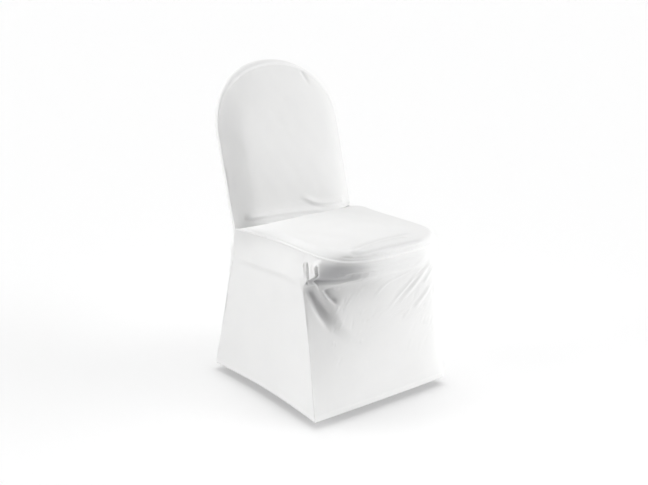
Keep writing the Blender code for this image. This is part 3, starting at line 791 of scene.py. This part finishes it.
# %% [markdown]
# ## One routine for every piece
# Each piece is a bmesh grid.  Its points are read from the piece's function, pushed along the outward
# direction by folds, seams, hem and unevenness, and the sheet is given the knit's thickness on its
# inner side.  Where two seams meet, the stronger relief wins, so that their lips don't add up.

# %% Outward direction and edges of a piece
CALM_WIDTH = 0.006        # width along a seam in which a piece's own creases and waves die away
SEAM_FADE = 0.12          # share of a seam over which its relief fades at either end
WAVE_SIZE, WAVE_RISE = 0.09, 0.0005


def outward(surface, u, v, facing):
    small = 1e-4
    across = np.stack(surface(u + small, v), axis=-1) - np.stack(surface(u - small, v), axis=-1)
    down = np.stack(surface(u, v + small), axis=-1) - np.stack(surface(u, v - small), axis=-1)
    normal = np.cross(across, down)
    normal = normal / np.maximum(np.linalg.norm(normal, axis=-1, keepdims=True), 1e-12)
    return normal * np.sign((normal @ np.array(facing)).sum())


def edge_points(surface, edge, u_low):
    t = np.linspace(0.0, 1.0, 260)
    across = u_low + (1.0 - u_low) * t
    ends = {
        "left": (np.full_like(t, u_low), t),
        "right": (np.ones_like(t), t),
        "top": (across, np.zeros_like(t)),
        "foot": (across, np.ones_like(t)),
    }
    return np.stack(surface(*ends[edge]), axis=-1)


# %% Relief of a piece
def piece_relief(name, surface, folds, points, seams, facing, u_low):
    """Lift of each point, the part of it that folds make, and the share of whiter tone: doubled cloth and
    painted seam highlight.
    """
    lift = fold_height(points, folds[1:], facing)
    shared = lift.copy()
    calm = np.ones(len(points))
    sewn = np.zeros(len(points))
    doubled_and_highlight = np.zeros(len(points))
    for number, (edge, kind, gather, start, stop) in enumerate(seams):
        away, along = edge_distance(points, edge_points(surface, edge, u_low))
        calm *= ease(0.0, CALM_WIDTH, away)
        share = along / along.max()
        here = ease(start - SEAM_FADE, start, share) * ease(stop + SEAM_FADE, stop, share)
        if kind == "hem":
            lift += hem_relief(away)
            doubled_and_highlight = np.maximum(doubled_and_highlight, HEM_WHITER * in_hem(away))
        else:
            relief = here * seam_relief(away, along, kind, gather, seed=len(name) * 10 + number)
            sewn = np.where(np.abs(relief) > np.abs(sewn), relief, sewn)
            # whiter band beside the seam: doubled cloth, and a painted highlight along the lip
            seam_doubled_and_highlight = SEAM_KINDS[kind][6] * np.exp(-((away / DOUBLED_AND_HIGHLIGHT_WIDTH) ** 4))
            doubled_and_highlight = np.maximum(doubled_and_highlight, here * seam_doubled_and_highlight)
    lift += sewn + WAVE_RISE * unevenness(points, WAVE_SIZE, seed=len(name)) * calm
    own = fold_height(points, folds[:1], facing) * calm
    lift += own
    return lift, shared + own, doubled_and_highlight


# %% Make a cut piece
def cut_piece(name, surface, folds, u_rows, v_rows, seams, facing, u_low):
    """One cut piece of the cover; u_rows and v_rows are (count, spacing)."""
    columns, u_at = u_rows
    rows, v_at = v_rows
    bm = bmesh.new()
    bmesh.ops.create_grid(bm, x_segments=columns, y_segments=rows, size=1.0)
    flat = np.array([vert.co[:2] for vert in bm.verts])
    u = u_at((flat[:, 0] + 1.0) / 2.0)
    v = v_at((flat[:, 1] + 1.0) / 2.0)
    points = np.stack(surface(u, v), axis=-1)
    normal = outward(surface, u, v, facing)
    lift, sunk, doubled_and_highlight = piece_relief(name, surface, folds, points, seams, facing, u_low)
    final = points + normal * lift[:, None] - TOP_OF_BACK
    for vert, point in zip(bm.verts, final):
        vert.co = point
    bm.normal_update()
    if np.mean([face.normal.dot(facing) for face in bm.faces]) < 0:
        bmesh.ops.reverse_faces(bm, faces=bm.faces[:])
    for face in bm.faces:
        face.smooth = True
    mesh = bpy.data.meshes.new(name)
    bm.to_mesh(mesh)
    bm.free()
    cloth = mesh.attributes.new("cloth", "FLOAT_VECTOR", "POINT")
    across_and_down = np.column_stack((0.5 * u, 0.5 * v, np.zeros_like(u)))
    cloth.data.foreach_set("vector", across_and_down.astype(np.float32).ravel())
    # whiter for doubled cloth, and as a painted highlight along the seam lips
    doubled_and_highlight_attribute = mesh.attributes.new("doubled_and_highlight", "FLOAT", "POINT")
    doubled_and_highlight_attribute.data.foreach_set("value", doubled_and_highlight.astype(np.float32))
    # painted shade: greyer knit in deep troughs and in the hollow under the seat's corner
    painted_shade = mesh.attributes.new("painted_shade", "FLOAT", "POINT")
    painted_shade.data.foreach_set("value", painted_shade_share(surface, u, v, sunk).astype(np.float32))
    piece = bpy.data.objects.new(name, mesh)
    bpy.context.scene.collection.objects.link(piece)
    sheet = piece.modifiers.new("thickness", "SOLIDIFY")
    sheet.thickness = KNIT_THICKNESS
    sheet.offset = -1.0
    piece.data.materials.append(stretch_knit(name + "_knit", len(name) % 5))
    area = sum(face.area for face in mesh.polygons)
    print(f"{name}: {len(mesh.vertices)} points, {area:.3f} square metres, "
          f"lift {1000 * lift.min():.1f} to {1000 * lift.max():.1f} mm")
    return piece, area


# %% [markdown]
# ## Cutting the six pieces
# Every piece takes the place of the plain solid that holds its position, and rides with it.  The flat
# sizes are what a maker might cut.  The knit is taken to be stretched by about a tenth on the chair.

# %% Build the cover
FRONT, REAR, UP, LEFT, RIGHT = (0, -1, 0), (0, 1, 0), (0, 0, 1), (-1, 0, 0), (1, 0, 0)
PIECES = (
    # name, node, surface, folds, columns, rows,
    # seams (edge, kind, gather, from, to), faces, lowest u, section (u, v), flat, dense
    ("cloth_back_front", "back_front", back_front, ((back_front, BACK_FOLDS),), 150, 160,
     (("left", "faint", 0.0, 0.0, 1.0), ("right", "faint", 0.0, 0.0, 1.0),
      ("foot", "crown", 0.0, 0.25, 0.80)),
     FRONT, -1.0, (0.0, 0.8), (0.40, 0.42), None),
    ("cloth_rear", "rear_panel", rear_panel, ((rear_panel, REAR_FOLDS),), 150, 230,
     (("left", "faint", 0.0, 0.0, 1.0), ("right", "faint", 0.0, 0.0, 1.0),
      ("top", "crown", 0.0, 0.25, 0.80),
      ("foot", "hem", 0.0, 0.0, 1.0)),
     REAR, -1.0, (0.0, 0.5), (0.45, 0.90), None),
    ("cloth_seat", "seat_panel", seat_panel, ((seat_panel, SEAT_FOLDS),), 160, 170,
     (("left", "ridge", 0.0002, 0.0, 1.0), ("right", "ridge", 0.0002, 0.0, 1.0),
      ("foot", "ridge", 0.0004, 0.0, 1.0)),
     UP, -1.0, (0.0, 0.97), (0.42, 0.48), None),
    ("cloth_skirt_front", "skirt_front", skirt_front,
     ((skirt_front, SKIRT_FOLDS), (skirt_front, CORNER_FOLDS)), 250, 194,
     (("left", "under", 0.0, 0.20, 1.0), ("right", "under", 0.0, 0.10, 1.0),
      ("top", "under", 0.0, 0.0, 1.0), ("foot", "hem", 0.0, 0.0, 1.0)),
     FRONT, -1.0, (0.0, 0.06), (0.60, 0.43), (0.15, 0.16, 1.3)),
    ("cloth_side_left", "side_left", left_side,
     ((left_side, SIDE_FOLDS), (skirt_front, CORNER_FOLDS)), 150, 120,
     (("left", "faint", 0.0, 0.0, 1.0), ("right", "under", 0.0, 0.20, 1.0),
      ("top", "under", 0.0, 0.0, 1.0), ("foot", "hem", 0.0, 0.0, 1.0)),
     LEFT, 0.0, (0.5, 0.5), (0.42, 0.43), (1.0, 0.10, 1.6)),
    ("cloth_side_right", "side_right", right_side, ((right_side, SIDE_FOLDS),), 110, 120,
     (("left", "faint", 0.0, 0.0, 1.0), ("right", "under", 0.0, 0.10, 1.0),
      ("top", "under", 0.0, 0.0, 1.0), ("foot", "hem", 0.0, 0.0, 1.0)),
     RIGHT, 0.0, (0.5, 0.5), (0.42, 0.43), None),
)
for name, node, surface, folds, columns, rows, seams, faces, u_low, section, flat, dense in PIECES:
    u_at = even(surface, True, u_low, section[1], dense)
    v_at = even(surface, False, 0.0, section[0])
    piece, area = cut_piece(name, surface, folds, (columns, u_at), (rows, v_at), seams, faces, u_low)
    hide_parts(node)
    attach(piece, "root")

# %% [markdown]
# ## The floor
# A white product set stands on a pale floor that runs out of sight.  It is matt, and glows a little to
# the camera alone, so that it reads nearly white but still takes the soft shadow under the hem.

# %% Pale floor
FLOOR = -TOP_OF_BACK[2]
FLOOR_PAINT, FLOOR_GLOW = 0.62, 0.35
FLOOR_SIZE = 90.0


def pale_floor():
    bpy.ops.mesh.primitive_grid_add(x_subdivisions=8, y_subdivisions=8, size=FLOOR_SIZE,
                                    location=(0.0, 0.0, FLOOR))
    floor = bpy.context.object
    floor.name = "pale_floor"
    material = bpy.data.materials.new("pale_floor_paint")
    material.use_nodes = True
    shader = material.node_tree.nodes["Principled BSDF"]
    shader.inputs["Base Color"].default_value = (FLOOR_PAINT, FLOOR_PAINT, FLOOR_PAINT, 1.0)
    shader.inputs["Roughness"].default_value = 1.0
    shader.inputs["Specular IOR Level"].default_value = 0.0
    shader.inputs["Emission Color"].default_value = (1.0, 1.0, 1.0, 1.0)
    path = material.node_tree.nodes.new("ShaderNodeLightPath")
    glow = material.node_tree.nodes.new("ShaderNodeMath")
    glow.operation = "MULTIPLY"
    glow.inputs[1].default_value = FLOOR_GLOW
    material.node_tree.links.new(path.outputs["Is Camera Ray"], glow.inputs[0])
    material.node_tree.links.new(glow.outputs["Value"], shader.inputs["Emission Strength"])
    floor.data.materials.append(material)


pale_floor()
print(f"the floor lies {-FLOOR:.3f} m under the top of the back")

# %% [markdown]
# ## The lights
# Two large soft lights stand far out to the left and right of the camera's line, and a third hangs
# overhead.  Light from the sides leaves every face that looks at the camera a touch darker than the
# ones that look left or right, which is what lets white cloth read on a white ground.  A small near
# panel, low in front, lights the skirt more than the back.

# %% Soft lights
PANEL_AIM = (0.0, -0.20, 0.25)        # about the middle of the skirt's front, from the floor


def soft_light(name, azimuth, height, spread, strength):
    """A broad far light; azimuth from +X toward +Y and height in degrees, strength on a facing sheet."""
    lamp = bpy.data.lights.new(name, "SUN")
    lamp.energy = math.pi * strength
    lamp.angle = math.radians(spread)
    light = bpy.data.objects.new(name, lamp)
    bpy.context.scene.collection.objects.link(light)
    light.rotation_euler = (math.radians(90.0 - height), 0.0, math.radians(90.0 + azimuth))
    print(f"{name}: azimuth {azimuth:.0f}, height {height:.0f}, strength {strength}")


soft_light("left_box", 142.0, 10.0, 40.0, 0.94)
soft_light("right_box", -44.0, 10.0, 50.0, 0.78)
soft_light("top_box", 52.0, 90.0, 60.0, 0.57)


def low_panel(name, azimuth, away, height, size, power):
    """A near panel on a low stand, which gives the skirt more light than the back."""
    lamp = bpy.data.lights.new(name, "AREA")
    lamp.shape = "RECTANGLE"
    lamp.size, lamp.size_y = size
    lamp.energy = power
    panel = bpy.data.objects.new(name, lamp)
    bpy.context.scene.collection.objects.link(panel)
    aim = Vector(PANEL_AIM) - Vector(TOP_OF_BACK)
    turn = math.radians(azimuth)
    offset = (away * math.cos(turn), away * math.sin(turn), height - PANEL_AIM[2])
    panel.location = aim + Vector(offset)
    panel.rotation_euler = (aim - panel.location).to_track_quat("-Z", "Y").to_euler()
    panel.visible_camera = False
    print(f"{name}: {away} m away, {power} W")


low_panel("low_right_box", -60.0, 1.0, 0.20, (1.0, 0.3), 3.3)

# %% [markdown]
# ## The surround
# The camera sees pure white behind the cover.  The cloth sees a dark room with one glowing wall, the
# far one, which lights the edges that turn away from the camera.

# %% White surround
FAR_WALL_X, FAR_WALL_Y = 0.62, 0.79   # direction of the wall that glows
WALL_GLOW = 0.60


def surround():
    """White to the camera; to the cloth a dark room whose far wall glows."""
    world = bpy.data.worlds.new("studio")
    bpy.context.scene.world = world
    world.use_nodes = True
    tree = world.node_tree
    tree.nodes.clear()
    place = tree.nodes.new("ShaderNodeTexCoord")
    far = tree.nodes.new("ShaderNodeVectorMath")
    far.operation = "DOT_PRODUCT"
    far.inputs[1].default_value = (FAR_WALL_X * WALL_GLOW, FAR_WALL_Y * WALL_GLOW, 0.0)
    only = tree.nodes.new("ShaderNodeMath")
    only.operation = "MAXIMUM"
    only.inputs[1].default_value = 0.0
    seen = tree.nodes.new("ShaderNodeBackground")
    room = tree.nodes.new("ShaderNodeBackground")
    for background in (seen, room):
        background.inputs["Color"].default_value = (1.0, 1.0, 1.0, 1.0)
    path = tree.nodes.new("ShaderNodeLightPath")
    mix = tree.nodes.new("ShaderNodeMixShader")
    out = tree.nodes.new("ShaderNodeOutputWorld")
    tree.links.new(place.outputs["Generated"], far.inputs[0])
    tree.links.new(far.outputs["Value"], only.inputs[0])
    tree.links.new(only.outputs["Value"], room.inputs["Strength"])
    tree.links.new(path.outputs["Is Camera Ray"], mix.inputs["Fac"])
    tree.links.new(room.outputs["Background"], mix.inputs[1])
    tree.links.new(seen.outputs["Background"], mix.inputs[2])
    tree.links.new(mix.outputs["Shader"], out.inputs["Surface"])


surround()
bpy.context.scene.view_settings.view_transform = "Standard"
print("view transform:", bpy.context.scene.view_settings.view_transform)

# %% [markdown]
# ## The camera
# The camera stands about three metres off, to the front and left, a little above the top of the back,
# and looks down at it.  A lens of moderate length keeps the perspective gentle.

# %% Camera
SENSOR_WIDTH, LENS = 36.0, 55.67      # millimetres
CAMERA_PLACE = (-1.7344, -2.5077, 0.3664)
CAMERA_DOWN, CAMERA_TURN = 17.1921, -38.0131


def studio_camera():
    lens = bpy.data.cameras.new("studio_camera")
    lens.sensor_width = SENSOR_WIDTH
    lens.lens = LENS
    lens.clip_end = 100.0
    camera = bpy.data.objects.new("studio_camera", lens)
    bpy.context.scene.collection.objects.link(camera)
    camera.location = CAMERA_PLACE
    camera.rotation_euler = (math.radians(90.0 - CAMERA_DOWN), 0.0, math.radians(CAMERA_TURN))
    bpy.context.scene.camera = camera


studio_camera()
print(f"the camera is {np.linalg.norm(CAMERA_PLACE):.2f} m from the top of the back")
